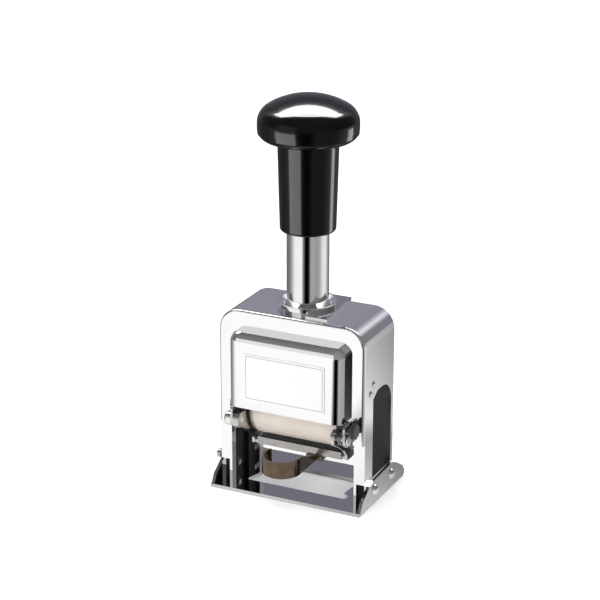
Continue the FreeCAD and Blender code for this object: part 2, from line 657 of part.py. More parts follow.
def make_handle():
    """Moulded grip and two-part knob on the tube's head, drawn down by one long screw."""
    tube_bore = size.tube_half + size.press_gap
    bolt_bore = size.handle_bolt + size.hole_gap
    tube_seat = tube_top + size.side_gap
    grip = new_body("grip")
    turned(grip, "z", [(tube_bore, grip_foot),
                       (size.grip_low_half - size.grip_round, grip_foot, size.grip_round, 1),
                       (size.grip_low_half, grip_foot + size.grip_round), (size.grip_top_half, grip_top),
                       (bolt_bore, grip_top), (bolt_bore, tube_seat), (tube_bore, tube_seat)])
    under_flat = size.under_deep - size.under_round
    under_side = size.knob_half - size.under_round
    under_rise = (under_side * under_side - under_flat * under_flat) / (under_flat * 2)
    under_reach = size.under_deep + under_rise
    share = size.under_round / (under_reach - size.under_round)
    under_tangent = (under_side + under_side * share, knob_low - under_rise * share)
    neck_half = size.grip_top_half
    neck_up = knob_low + under_rise - root(under_reach * under_reach - neck_half * neck_half)
    step = root(size.under_round * size.under_round - size.seam_drop * size.seam_drop)
    seam_out = under_side + step
    bolt_seat = seam_up - size.bolt_head_high
    spigot_top = seam_up + size.spigot_high
    base = new_body("knob_base")
    turned(base, "z", [(bolt_bore, grip_top), (size.grip_top_half, grip_top),
                       (size.grip_top_half, neck_up, under_reach, -1),
                       (under_tangent[0], under_tangent[1], size.under_round, 1), (seam_out, seam_up),
                       (size.spigot_half, seam_up), (size.spigot_half, spigot_top),
                       (size.bolt_head, spigot_top), (size.bolt_head, bolt_seat), (bolt_bore, bolt_seat)])
    dome_flat = size.dome_high - size.dome_round
    dome_side = size.knob_half - size.dome_round
    dome_drop = (dome_side * dome_side - dome_flat * dome_flat) / (dome_flat * 2)
    dome_reach = size.dome_high + dome_drop
    share = size.dome_round / (dome_reach - size.dome_round)
    cap = new_body("knob_cap")
    spigot_bore = size.spigot_half + size.hole_gap
    spigot_roof = spigot_top + size.side_gap
    turned(cap, "z", [(0, spigot_roof), (spigot_bore, spigot_roof),
                      (spigot_bore, seam_up + size.side_gap * 2),
                      (seam_out + size.seam_step - size.side_gap, seam_up + size.side_gap * 2),
                      (size.knob_half, knob_low), (size.knob_half, knob_equator, size.dome_round, 1),
                      (dome_side + dome_side * share, knob_equator + dome_drop * share, dome_reach, 1),
                      (0, knob_equator + size.dome_high)])
    screw = new_body("handle_screw")
    turned(screw, "z", [(0, plug_foot + size.free_gap), (size.handle_bolt, plug_foot + size.free_gap),
                        (size.handle_bolt, bolt_seat), (size.bolt_head - size.side_gap, bolt_seat),
                        (size.bolt_head - size.side_gap, bolt_seat + size.bolt_head_high),
                        (0, bolt_seat + size.bolt_head_high)])
    return [grip, base, cap, screw]


def make_tube():
    """Chromed plunger tube with two slots for the spring bar, the plug in its head and its foot flange."""
    tube = new_body("plunger_tube")
    rod(tube, "z", bridge_foot, tube_top, 0, 0, size.tube_half, bore=size.tube_half - size.tube_wall)
    slot_low = bar_foot - size.side_gap
    slot_high = bar_top + stroke + size.side_gap
    slot_half = size.bar_half + size.side_gap * 2
    slab(tube, "x", -size.tube_half - size.overrun, size.tube_half + size.overrun,
         box_points(-slot_half, slot_half, slot_low, slot_high), cut=True)
    plug = new_body("tube_plug")
    rod(plug, "z", plug_foot, tube_top, 0, 0, size.tube_half - size.tube_wall - size.press_gap,
        bore=size.handle_bolt + size.hole_gap)
    flange = new_body("tube_flange")
    rod(flange, "z", bridge_top, bridge_top + size.flange_thick, 0, 0, size.flange_half,
        bore=size.tube_half + size.press_gap)
    out = size.flange_bolt_out
    places = [(out, out), (-out, out), (-out, -out), (out, -out)]
    for across, up in places:
        rod(flange, "z", bridge_top - size.overrun, bridge_top + size.flange_thick + size.overrun, across, up,
            size.flange_bolt + size.hole_gap, cut=True)
    screws = new_body("flange_screws")
    seat = bridge_top + size.flange_thick
    for across, up in places:
        rod(screws, "z", seat, seat + size.flange_bolt, across, up, size.flange_bolt_head)
        rod(screws, "z", bridge_foot, seat, across, up, size.flange_bolt)
    return [tube, plug, flange, screws]


def make_case():
    """Bridge, side plates, guide shoes and guard of the number wheel case."""
    bridge = new_body("case_bridge")
    slab(bridge, "z", bridge_foot, bridge_top,
         box_points(-bridge_half, bridge_half, -size.case_front, bridge_rear))
    rod(bridge, "z", bridge_foot - size.overrun, bridge_top + size.overrun, 0, 0,
        size.tube_half + size.press_gap, cut=True)
    out = size.flange_bolt_out
    for across, up in [(out, out), (-out, out), (-out, -out), (out, -out)]:
        rod(bridge, "z", bridge_foot - size.overrun, bridge_top + size.overrun, across, up,
            size.flange_bolt + size.hole_gap, cut=True)
    side = new_body("case_side_left")
    reach = case_round
    foot_drop = size.wheel_up - tie_up + size.case_foot
    slab(side, "x", -case_outer, -case_inner,
         [(-reach, 0, reach, 1), (-root(reach * reach - foot_drop * foot_drop), -foot_drop),
          (case_back, -foot_drop), (case_back, size.tie_half), (bridge_rear, size.case_tall),
          (-size.case_front, size.case_tall), (-size.case_front, size.lobe_rise), (-reach, size.lobe_rise)],
         up=size.wheel_up)
    detent_back = -detent_out * sine(size.detent_turn)
    detent_up = size.wheel_up + detent_out * cosine(size.detent_turn)
    for across, up, radius in ((0, size.wheel_up, size.shaft_half), (detent_back, detent_up, size.detent_rod),
                               (tie_back, tie_up, size.tie_half)):
        rod(side, "x", -case_outer - size.overrun, -case_inner + size.overrun, across, up,
            radius + size.hole_gap, cut=True)
    shoe = new_body("guide_shoe_left")
    groove_floor = liner_inner + size.groove_deep
    half = size.groove_half - size.free_gap
    slab(shoe, "x", -groove_floor + size.side_gap * 2, -shoe_inner,
         box_points(-half, half, size.wheel_up - size.shoe_foot, bridge_foot))
    guard = new_body("wheel_guard")
    inner = reach - size.guard_thick
    rise = size.guard_high
    drop = size.guard_low
    slab(guard, "x", -case_inner, case_inner,
         [(-root(reach * reach - rise * rise), rise, reach, 1), (-root(reach * reach - drop * drop), -drop),
          (-root(inner * inner - drop * drop), -drop, inner, -1), (-root(inner * inner - rise * rise), rise)],
         up=size.wheel_up)
    return [bridge, side, mirror_piece(side, "case_side_right"), shoe,
            mirror_piece(shoe, "guide_shoe_right"), guard]


def make_case_rods():
    """Wheel shaft with its clips, the rear tie rod and the detent comb."""
    shaft = new_body("wheel_shaft")
    clip_outer = case_outer + size.clip_thick
    rod(shaft, "x", -clip_outer, clip_outer, 0, size.wheel_up, size.shaft_half)
    clips = new_body("shaft_clips")
    clip = rod(clips, "x", case_outer, clip_outer, 0, size.wheel_up, size.clip_half,
               bore=size.shaft_half + size.press_gap)
    repeat_mirrored(clips, [clip])
    tie = new_body("tie_rod")
    rod(tie, "x", -case_outer, case_outer, tie_back, tie_up, size.tie_half)
    comb = new_body("detent_comb")
    rod(comb, "x", -case_outer, case_outer, 0, detent_out, size.detent_rod)
    add_fingers(comb, detent_out, -size.finger_half, size.finger_half)
    place_about_shaft(comb, size.detent_turn)
    return [shaft, clips, tie, comb]


def add_fingers(body, top, back, front):
    """One finger for each wheel's ratchet, in the gap between two type rings."""
    start = -wheels_half + size.type_wide + size.wheel_gap
    finger = slab(body, "x", start, start + size.finger_thick, box_points(back, front, finger_tip, top))
    repeat_along_x(body, finger, size.wheel_pitch, size.wheel_count)


def place_about_shaft(body, turn):
    """Turn a piece that was drawn upright about the wheel shaft, and lift it to its height."""
    spin = FreeCAD.Rotation(FreeCAD.Vector(1, 0, 0), turn.value)
    body.Placement = FreeCAD.Placement(FreeCAD.Vector(), spin)
    bind(body, "Placement.Base.z", size.wheel_up)
    bind(body, "Placement.Rotation.Angle", turn)


TOOTH_SHARES = ((0.0, 0.75), (0.0, 1.0), (-0.44, 0.79), (-0.35, 0.66))


def make_number_wheels():
    """Eight type wheels, each a ring of ten type blocks with a ratchet on its right side."""
    wheel = new_body("number_wheel_1")
    low = -wheels_half
    type_high = low + size.type_wide
    ratchet_high = type_high + size.ratchet_thick
    rod(wheel, "x", low, type_high, 0, size.wheel_up, disc_half)
    block_top = root(size.type_half * size.type_half - size.type_block * size.type_block)
    block_foot = disc_half - size.overrun
    block_face = box_points(-size.type_block, size.type_block, block_foot, block_top)
    block = slab(wheel, "x", low, type_high, block_face, up=size.wheel_up)
    repeat_round(wheel, block, 10)
    rod(wheel, "x", type_high, ratchet_high, 0, size.wheel_up, (ratchet_half - size.tooth_deep))
    points = [(ratchet_half * across if across else 0, ratchet_half * up) for across, up in TOOTH_SHARES]
    tooth = slab(wheel, "x", type_high, ratchet_high, points, up=size.wheel_up)
    repeat_round(wheel, tooth, 10)
    rod(wheel, "x", low - size.overrun, ratchet_high + size.overrun, 0, size.wheel_up,
        size.shaft_half + size.fit, cut=True)
    wheels = [wheel]
    for number in range(1, int(size.wheel_count.value)):
        twin = doc.addObject("Part::Compound", f"number_wheel_{number + 1}")
        twin.Links = [wheel]
        bind(twin, "Placement.Base.x", size.wheel_pitch * number)
        wheels.append(twin)
    return wheels


def make_pawl_swing():
    """Yoke that swings about the wheel shaft and carries the comb of pawls."""
    yoke = new_body("pawl_yoke")
    inner = wheels_half + size.free_gap
    outer = inner + size.yoke_sheet
    bore = size.shaft_half + size.fit
    arm = box_points(-size.yoke_arm_half, size.yoke_arm_half, 0, comb_top)
    features = [rod(yoke, "x", inner, outer, 0, 0, size.yoke_hub), slab(yoke, "x", inner, outer, arm),
                rod(yoke, "x", inner - size.overrun, outer + size.overrun, 0, 0, bore, cut=True)]
    repeat_mirrored(yoke, features)
    rod(yoke, "x", -inner, inner, 0, pawl_out, size.pawl_rod)
    place_about_shaft(yoke, size.pawl_turn)
    comb = new_body("pawl_comb")
    back = size.pawl_rod
    front = back + size.comb_thick
    slab(comb, "x", -inner + size.side_gap, inner - size.side_gap,
         box_points(back, front, size.type_half + size.comb_gap, comb_top))
    add_fingers(comb, comb_top, back, front)
    place_about_shaft(comb, size.pawl_turn)
    return [yoke, comb]


ARM_SHARES = ((0.0, -0.22), (0.35, -0.63), (0.46, -0.84), (0.47, -1.0), (0.755, -1.0), (0.755, -0.85),
              (0.55, -0.68), (0.48, -0.3), (0.42, -0.03), (0.13, 0.2), (0.0, 0.23))


def make_pad_arms():
    """Two arms from the pivots back to the ink tray."""
    arms = []
    reach = pivot_front + size.tray_rear
    drop = pivot_up - tray_foot
    points = [(reach * across if across else 0, drop * up) for across, up in ARM_SHARES]
    bore = size.pin_half + size.fit
    for name, side, boss in (("pad_arm_left", -1, size.left_boss_long), ("pad_arm_right", 1, size.boss_long)):
        arm = new_body(name)
        low, high = (arm_inner, arm_outer) if side > 0 else (-arm_outer, -arm_inner)
        boss_low, boss_high = ((arm_inner, arm_inner + boss) if side > 0
                               else (-arm_inner - boss, -arm_inner))
        slab(arm, "x", low, high, points, across=-pivot_front, up=pivot_up)
        rod(arm, "x", boss_low, boss_high, -pivot_front, pivot_up, size.boss_half)
        foot_low, foot_high = (tray_half, arm_inner) if side > 0 else (-arm_inner, -tray_half)
        slab(arm, "x", foot_low, foot_high,
             box_points(-size.tray_front + size.overrun, -size.overrun, tray_foot,
                        tray_foot + size.arm_sheet))
        rod(arm, "x", low - size.boss_long - size.overrun, high + size.boss_long + size.overrun,
            -pivot_front, pivot_up, bore, cut=True)
        arms.append(arm)
    return arms


def make_ink_tray():
    """Shallow tray under the wheels, with its felt ink pad."""
    tray = new_body("pad_tray")
    wall = size.tray_sheet
    slab(tray, "x", -tray_half, tray_half,
         box_points(-size.tray_front, size.tray_rear, tray_foot, tray_lip))
    slab(tray, "x", -tray_half + wall, tray_half - wall,
         box_points(-size.tray_front + wall, size.tray_rear - wall, tray_foot + wall,
                    tray_lip + size.overrun), cut=True)
    pad = new_body("ink_pad")
    inset = wall + size.side_gap
    slab(pad, "z", tray_foot + wall, pad_top,
         box_points(-tray_half + inset, tray_half - inset, -size.tray_front + inset, size.tray_rear - inset))
    return [tray, pad]


def make_finger_loop():
    """Bent strip: tab riveted under the tray, tapered neck, and an open finger ring."""
    loop = new_body("finger_loop")
    outer = size.loop_half + size.strip_thick
    back = size.loop_centre - size.tray_front
    turn = size.loop_end_turn
    end_outer = (outer * cosine(turn), outer * sine(turn))
    end_inner = (size.loop_half * cosine(turn), size.loop_half * sine(turn))
    inner = size.loop_half
    points = [(inner, back), (inner, 0, inner, -1), (0, -inner, inner, -1), (-inner, 0, inner, -1), end_inner,
              (end_outer[0], end_outer[1], outer, 1), (-outer, 0, outer, 1), (0, -outer, outer, 1),
              (outer, 0), (outer, back)]
    slab(loop, "z", loop_foot, loop_foot + size.loop_high, points, up=-size.loop_centre)
    top = loop_foot + size.loop_high
    tab_front = -size.tray_front - size.strip_thick
    tab_right = outer + size.tab_right
    neck_start = -size.loop_centre + size.neck_start
    neck_end = -size.tray_front + size.overrun
    slab(loop, "x", inner - size.overrun, outer + size.overrun,
         [(neck_start, top), (tab_front, tray_foot), (neck_end, tray_foot), (neck_end, top + size.overrun),
          (neck_start, top + size.overrun)], cut=True)
    slab(loop, "z", loop_foot, tray_foot,
         box_points(size.loop_half - size.tab_left, tab_right, tab_front, tab_front + size.tab_deep))
    rivets = new_body("loop_rivets")
    middle = tab_front + size.tab_deep / 2
    edge_room = size.loop_rivet * 1.75
    for across in (inner - size.tab_left + edge_room, tab_right - edge_room):
        rod(rivets, "z", loop_foot - size.loop_rivet / 2, loop_foot, across, middle, size.loop_rivet)
    return [loop, rivets]


def make_pivot_carriers():
    """Brackets behind the front lips, and the two pins that the pad arm swings on."""
    pieces = []
    for name, side, outer in (("pivot_bracket_left", -1, left_lug_outer),
                              ("pivot_bracket_right", 1, right_lug_outer)):
        bracket = new_body(name)
        low, high = (outer - size.lug_sheet, outer) if side > 0 else (-outer, -outer + size.lug_sheet)
        reach = lip_rear + size.lug_behind + pivot_front
        rise = lug_top - pivot_up
        front = [(0, -size.lug_half), (reach, -size.lug_half), (reach, rise),
                 (-size.lug_half + size.lug_corner, rise, size.lug_corner, 1),
                 (-size.lug_half, rise - size.lug_corner), (-size.lug_half, 0, size.lug_half, 1)]
        slab(bracket, "x", low, high, front, across=-pivot_front, up=pivot_up)
        foot = liner_inner - size.side_gap * 2
        foot_low, foot_high = (low, foot) if side > 0 else (-foot, high)
        slab(bracket, "y", lip_rear, lip_rear + size.lug_behind,
             box_points(foot_low, foot_high, pivot_up - size.lug_half, lug_top))
        rod(bracket, "x", low - size.overrun, high + size.overrun, -pivot_front, pivot_up,
            size.pin_half + size.hole_gap, cut=True)
        if side > 0:
            rod(bracket, "x", low - size.overrun, high + size.overrun, -dial_front, dial_up,
                size.dial_stub + size.fit, cut=True)
        pieces.append(bracket)
    left = new_body("pivot_pin_left")
    cap_low = -left_lug_outer - size.side_gap / 2 - size.cap_long
    rod(left, "x", cap_low, cap_low + size.cap_long, -pivot_front, pivot_up, size.cap_half)
    round_edges(left, size.cap_round, on_level("x", cap_low))
    rod(left, "x", cap_low + size.cap_long, -arm_inner, -pivot_front, pivot_up, size.pin_half)
    right = new_body("pivot_pin_right")
    head = right_lug_outer + size.side_gap / 2
    rod(right, "x", head, head + size.head_long, -pivot_front, pivot_up, size.head_half)
    rod(right, "x", arm_inner, head, -pivot_front, pivot_up, size.pin_half)
    return pieces + [left, right]


def make_selector_knob():
    """Small fluted knob whose stub turns in the right bracket."""
    body = new_body("selector_knob")
    rod(body, "x", dial_inner, dial_inner + size.dial_thick, -dial_front, dial_up, size.dial_half)
    round_edges(body, size.dial_round, on_level("x", dial_inner + size.dial_thick))
    flute = rod(body, "x", dial_inner - size.overrun, dial_inner + size.dial_thick + size.overrun,
                -dial_front, dial_up + size.dial_half, size.flute_half, cut=True)
    axis_sketch = sketch_on(body, "x", 0, -dial_front, dial_up)
    circle(axis_sketch, 0, 0, size.dial_half)
    pattern = body.newObject("PartDesign::PolarPattern", "PolarPattern")
    pattern.Originals = [flute]
    pattern.Axis = (axis_sketch, ["N_Axis"])
    pattern.Angle = 360
    bind(pattern, "Occurrences", size.flute_count)
    body.Tip = pattern
    rod(body, "x", right_lug_outer - size.lug_sheet, dial_inner, -dial_front, dial_up,
        size.dial_stub)
    return body


def biarc(start, start_run, end, end_run):
    """Two arcs that join two points and keep both directions."""
    chord = end - start
    total = start_run + end_run
    spread = 2 * (1 - start_run.dot(end_run))
    reach = (-chord.dot(total) + math.sqrt(chord.dot(total) ** 2 + spread * chord.dot(chord))) / spread
    first_turn = start + start_run * reach
    second_turn = end - end_run * reach
    middle = (first_turn + second_turn) / 2
    return [arc_through(start, first_turn, middle), arc_through(middle, second_turn, end)]


def arc_through(start, corner, end):
    """The arc from start to end that both lines to the corner touch."""
    middle = (start + end) / 2
    half = (end - start).Length / 2
    slant = math.atan2((corner - middle).Length, half)
    top = middle + (corner - middle).normalize() * half * math.tan(slant / 2)
    return Part.Arc(start, top, end).toShape()


def make_spring(name, axis_point, along, across, radius, wire, pitch, turns, leg_start, leg_end):
    """Round-wire spring wound about an axis, four biarcs a turn, with a straight leg at each end."""
    up = along.cross(across)
    quarters = int(round(turns * 4))
    places = []
    runs = []
    for step in range(quarters + 1):
        angle = step * math.pi / 2
        ring = across * math.cos(angle) + up * math.sin(angle)
        places.append(axis_point + ring * radius + along * (pitch * step / 4))
        run = (up * math.cos(angle) - across * math.sin(angle)) * radius + along * (pitch / (2 * math.pi))
        runs.append(run.normalize())
    edges = [Part.LineSegment(places[0] - runs[0] * leg_start, places[0]).toShape()]
    for step in range(quarters):
        edges += biarc(places[step], runs[step], places[step + 1], runs[step + 1])
    edges.append(Part.LineSegment(places[-1], places[-1] + runs[-1] * leg_end).toShape())
    path = Part.Wire(edges)
    profile = Part.Wire([Part.Circle(places[0] - runs[0] * leg_start, runs[0], wire / 2).toShape()])
    pipe = Part.BRepOffsetAPI.MakePipeShell(path)
    pipe.add(profile)
    pipe.build()
    pipe.makeSolid()
    piece = doc.addObject("Part::Feature", name)
    piece.Shape = pipe.shape()
    print_least_gap(name, edges, wire, 2 * math.pi * radius)
    return piece


def print_least_gap(name, edges, wire, turn_length):
    """Least distance between turns, measured on points along the wire."""
    points = []
    reach = 0.0
    for edge in edges:
        for point in edge.discretize(9)[:-1]:
            points.append((reach, point))
            reach += edge.Length / 8
    least = min(first.distanceToPoint(second) for at, first in points for later, second in points
                if later - at > turn_length / 2)
    print(f"{name}: least gap between turns {least - wire:.2f} mm")


def make_springs():
    """Main spring inside the plunger tube, and the torsion spring of the pad arm."""
    wire = size.spring_wire.value
    turns = size.spring_turns.value
    foot = washer_top.value + wire / 2 + size.free_gap.value
    top = plug_foot.value - wire / 2 - size.free_gap.value
    mean = (size.tube_half - size.tube_wall - size.spring_room).value
    main = make_spring("return_spring", FreeCAD.Vector(0, 0, foot), FreeCAD.Vector(0, 0, 1),
                       FreeCAD.Vector(1, 0, 0), mean, wire, (top - foot) / turns, turns, wire, wire)
    wire = size.coil_wire.value
    inner = arm_inner.value + size.boss_long.value + size.free_gap.value + wire / 2
    arm = make_spring("arm_spring", FreeCAD.Vector(inner, -pivot_front.value, pivot_up.value),
                      FreeCAD.Vector(1, 0, 0), FreeCAD.Vector(0, 0, -1), size.coil_mean.value, wire,
                      size.coil_pitch.value, size.coil_turns.value, size.coil_leg.value / 2,
                      size.coil_leg.value)
    return [main, arm]


def make_machine():
    pieces = [make_frame(), make_side_stud(), make_base_plate(), make_ear_screws(), make_ear_nuts(),
              make_wall_rivets(), make_front_cover(), make_label_plate(), make_collar(), make_collar_nut(),
              make_lock_plate(), make_selector_knob()]
    for group in (make_side_liners, make_spring_seat, make_handle, make_tube, make_case, make_case_rods,
                  make_number_wheels, make_pawl_swing, make_pad_arms, make_ink_tray, make_finger_loop,
                  make_pivot_carriers, make_springs):
        pieces += group()
    return pieces


def check_machine(pieces):
    """Stop on any failed object, idle cut or broken shape."""
    failed = [item.Label for item in doc.Objects if "Invalid" in item.State or "Error" in item.State]
    if failed:
        raise RuntimeError(f"failed objects: {failed}")
    for item in doc.Objects:
        if item.TypeId == "PartDesign::Pocket" and item.BaseFeature:
            if item.Shape.Volume >= item.BaseFeature.Shape.Volume:
                raise RuntimeError(f"{item.Label} in {item.getParentGeoFeatureGroup().Label} cuts nothing")
    for piece in pieces:
        if piece.Shape.isNull() or not piece.Shape.isValid() or not piece.Shape.Solids:
            raise RuntimeError(f"{piece.Label} has no valid solid")


machine = make_machine()
doc.recompute()
check_machine(machine)
os.makedirs("parts", exist_ok=True)
for piece in machine:
    piece.Shape.exportStep(os.path.join("parts", f"{piece.Label}.step"))
print(f"{len(machine)} pieces")
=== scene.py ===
import json
import math

import bmesh
import bpy
from mathutils import Matrix, Vector


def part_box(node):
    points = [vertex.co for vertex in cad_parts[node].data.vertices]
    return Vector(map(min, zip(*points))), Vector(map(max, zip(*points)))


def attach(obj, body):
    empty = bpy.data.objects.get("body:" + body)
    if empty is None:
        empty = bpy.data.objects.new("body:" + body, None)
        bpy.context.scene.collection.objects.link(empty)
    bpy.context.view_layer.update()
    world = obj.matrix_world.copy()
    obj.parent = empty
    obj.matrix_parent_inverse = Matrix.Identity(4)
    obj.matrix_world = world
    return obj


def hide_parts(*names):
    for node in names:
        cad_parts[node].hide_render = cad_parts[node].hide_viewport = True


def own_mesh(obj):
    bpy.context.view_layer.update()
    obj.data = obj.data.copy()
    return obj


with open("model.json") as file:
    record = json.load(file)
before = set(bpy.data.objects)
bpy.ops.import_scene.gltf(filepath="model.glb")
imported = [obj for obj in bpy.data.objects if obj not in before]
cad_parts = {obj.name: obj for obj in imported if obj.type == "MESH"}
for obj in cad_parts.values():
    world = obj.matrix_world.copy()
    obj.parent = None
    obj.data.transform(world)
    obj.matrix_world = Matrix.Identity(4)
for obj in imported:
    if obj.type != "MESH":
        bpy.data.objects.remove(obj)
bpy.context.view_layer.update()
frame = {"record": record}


# The table: a white sheet under the machine, lit soft and even. Its shader is put together with the
# two small classes that every finish below uses.
class Signal:
    """An output in a node tree. Arithmetic on it adds Math nodes."""

    def __init__(self, nodes, output):
        self.nodes = nodes
        self.output = output

    def math(self, operation, first, second=0.0):
        return self.nodes.node("ShaderNodeMath", {"operation": operation}, {0: first, 1: second})

    def __add__(self, other):
        return self.math("ADD", self, other)

    def __radd__(self, other):
        return self.math("ADD", other, self)

    def __sub__(self, other):
        return self.math("SUBTRACT", self, other)

    def __rsub__(self, other):
        return self.math("SUBTRACT", other, self)

    def __mul__(self, other):
        return self.math("MULTIPLY", self, other)

    def __rmul__(self, other):
        return self.math("MULTIPLY", other, self)

    def __truediv__(self, other):
        return self.math("DIVIDE", self, other)

    def __rtruediv__(self, other):
        return self.math("DIVIDE", other, self)

    def __abs__(self):
        return self.math("ABSOLUTE", self)

    def over(self, edge, soft):
        """0 below an edge and 1 above it, with a soft step as wide as soft."""
        return self.nodes.node("ShaderNodeMapRange", {"interpolation_type": "SMOOTHSTEP"},
                               {"Value": self, "From Min": edge - soft / 2, "From Max": edge + soft / 2})


class Nodes:
    """The node tree of a material, a lamp or the world."""

    def __init__(self, owner):
        owner.use_nodes = True
        self.tree = owner.node_tree
        self.tree.nodes.clear()

    def node(self, kind, settings=None, sockets=None, output=0):
        """One node: its settings first, then the values or links of its sockets."""
        made = self.tree.nodes.new(kind)
        for name, value in (settings or {}).items():
            if name == "stops":
                while len(made.color_ramp.elements) < len(value):
                    made.color_ramp.elements.new(1.0)
                for stop, (place, colour) in zip(made.color_ramp.elements, value):
                    stop.position = place
                    stop.color = colour if isinstance(colour, tuple) else (colour, colour, colour, 1.0)
            else:
                setattr(made, name, value)
        for name, value in (sockets or {}).items():
            if isinstance(value, Signal):
                self.tree.links.new(value.output, made.inputs[name])
            else:
                made.inputs[name].default_value = value
        return Signal(self, made.outputs[output]) if made.outputs else None

    def axes(self, vector):
        """The three parts of a vector."""
        split = self.node("ShaderNodeSeparateXYZ", None, {0: vector})
        return [Signal(self, split.output.node.outputs[index]) for index in range(3)]

    def tint(self, factor, first, second):
        """One colour turning into another."""
        return self.node("ShaderNodeMix", {"data_type": "RGBA"}, {0: factor, 6: first, 7: second}, 2)


class Finish(Nodes):
    """A material on Principled BSDF. Its fixed values are given at once, its patterns with vary()."""

    def __init__(self, name, **fixed):
        self.material = bpy.data.materials.new(name)
        super().__init__(self.material)
        self.shader = self.tree.nodes.new("ShaderNodeBsdfPrincipled")
        self.node("ShaderNodeOutputMaterial", None, {0: Signal(self, self.shader.outputs[0])})
        for words, value in fixed.items():
            self.shader.inputs[words.replace("_", " ").title().replace("Ior", "IOR")].default_value = value
        self.place = self.node("ShaderNodeTexCoord", None, None, "Object")

    def grain(self, size, stretch=(1, 1, 1), detail=2.0):
        """Noise with features of one size in metres, drawn out along the axes by stretch."""
        along = self.node("ShaderNodeMapping", None, {0: self.place, 3: tuple(1 / part for part in stretch)})
        return self.node("ShaderNodeTexNoise", None, {"Vector": along, "Scale": 1 / size, "Detail": detail})

    def vary(self, **patterns):
        for words, value in patterns.items():
            self.tree.links.new(value.output, self.shader.inputs[words.replace("_", " ").title()])

    def relief(self, height, depth):
        """Bumps from a height of 0 to 1, as deep as depth in metres."""
        bump = self.node("ShaderNodeBump", None, {"Height": height, "Distance": depth})
        self.vary(normal=bump)

    def onto(self, *names):
        """Put this finish on the CAD pieces named."""
        for name in names:
            for holder in bpy.data.objects[name].material_slots:
                holder.material = self.material


def grey(level, warm=0.0):
    """A neutral colour from its 0 to 255 screen value, a little warm or cool."""
    linear = [((level + shift) / 255) ** 2.2 for shift in (warm, 0, -warm)]
    return (*linear, 1.0)


def new_piece(name, mesh_maker, finish=None, smooth=None):
    """An object whose mesh a bmesh function makes, finished and standing at the origin."""
    work = bmesh.new()
    mesh_maker(work)
    mesh = bpy.data.meshes.new(name)
    work.to_mesh(mesh)
    work.free()
    piece = bpy.data.objects.new(name, mesh)
    bpy.context.scene.collection.objects.link(piece)
    if finish:
        mesh.materials.append(finish.material)
    if smooth is not None:
        mesh.shade_smooth()
        if smooth < 180:
            mesh.set_sharp_from_angle(angle=math.radians(smooth))
    return piece


table_half = 4.0
table_white = Finish("table_white", roughness=0.9, specular_ior_level=0.1)
table_white.vary(base_color=table_white.tint(table_white.grain(0.4), grey(249), grey(251)))


def table_sheet(work):
    bmesh.ops.create_grid(work, x_segments=1, y_segments=1, size=table_half)


table = new_piece("table", table_sheet, table_white)


# The studio: soft white lamps, and the dark and light cards that chrome needs round it. The cards are
# painted as one disc on the table, by direction from the machine, that only reflections see.
view_azimuth = math.radians(25.564)
view_elevation = math.radians(19.975)
card_stops = [(-180, 95), (-140, 90), (-119, 112), (-93, 120), (-76, 150), (-61, 205), (-46, 248), (-8, 252),
              (0, 130), (11, 8), (28, 6), (33, 80), (43, 170), (60, 160), (78, 155), (90, 170), (103, 212),
              (118, 240), (137, 228), (150, 148), (168, 130), (180, 95)]
card_near = 0.075
card_fade = 0.03
card_strength = 1.12
cards_half = 3.5
cards_lift = 0.0002


def paint_cards():
    card = bpy.data.materials.new("studio_cards")
    nodes = Nodes(card)
    across, back, _ = nodes.axes(nodes.node("ShaderNodeTexCoord", None, None, "Object"))
    angle = nodes.node("ShaderNodeMath", {"operation": "ARCTAN2"}, {0: across, 1: 0 - back})
    turn = angle / (2 * math.pi) + 0.5
    stops = [(azimuth / 360 + 0.5, tuple(grey(level))) for azimuth, level in card_stops]
    ring = nodes.node("ShaderNodeValToRGB", {"stops": stops}, {0: turn})
    near_stops = [(0.0, grey(120)), (0.28, grey(185)), (0.36, grey(250)), (0.5, grey(250)), (0.6, grey(235)),
                  (0.75, grey(215)), (0.87, grey(152)), (1.0, grey(120))]
    near = nodes.node("ShaderNodeValToRGB", {"stops": near_stops}, {0: turn})
    reach = nodes.node("ShaderNodeMath", {"operation": "SQRT"}, {0: across * across + back * back})
    colour = nodes.tint(reach.over(card_near + card_fade / 2, card_fade), near, ring)
    glow = nodes.node("ShaderNodeEmission", None, {0: colour, 1: card_strength})
    nodes.node("ShaderNodeOutputMaterial", None, {0: glow})
    return card


def cards_disc(work):
    bmesh.ops.create_circle(work, cap_ends=True, segments=96, radius=cards_half,
                            matrix=Matrix.Translation((0, 0, cards_lift)))


cards = new_piece("studio_cards", cards_disc)
cards.data.materials.append(paint_cards())
cards.visible_camera = cards.visible_diffuse = cards.visible_shadow = cards.visible_transmission = False

world = bpy.data.worlds.new("studio")
bpy.context.scene.world = world
sky = Nodes(world)
heading = sky.node("ShaderNodeTexCoord", None, None, "Generated")
ahead = sky.node("ShaderNodeVectorMath", {"operation": "DOT_PRODUCT"},
                 {0: heading, 1: (-math.sin(view_azimuth), math.cos(view_azimuth), 0)}, "Value")
aside = sky.node("ShaderNodeVectorMath", {"operation": "DOT_PRODUCT"},
                 {0: heading, 1: (math.cos(view_azimuth), math.sin(view_azimuth), 0)}, "Value")
softbox = ahead.over(0.2, 0.06) * (1 - ahead.over(0.5, 0.6)) * (1 - abs(aside).over(0.66, 0.2))
behind_stops = [(0.0, grey(145)), (0.45, grey(112)), (0.62, grey(105)), (0.9, (0.27, 0.265, 0.32, 1.0)),
                (1.0, (0.30, 0.29, 0.35, 1.0))]
behind = sky.node("ShaderNodeValToRGB", {"stops": behind_stops}, {0: ahead * 0.5 + 0.5})
mirrored_sky = sky.node("ShaderNodeBackground", None, {0: behind, 1: 1.0})
upright_azimuth = math.radians(-27)
upright_spread = 0.42
upright_top = math.sin(math.radians(27))
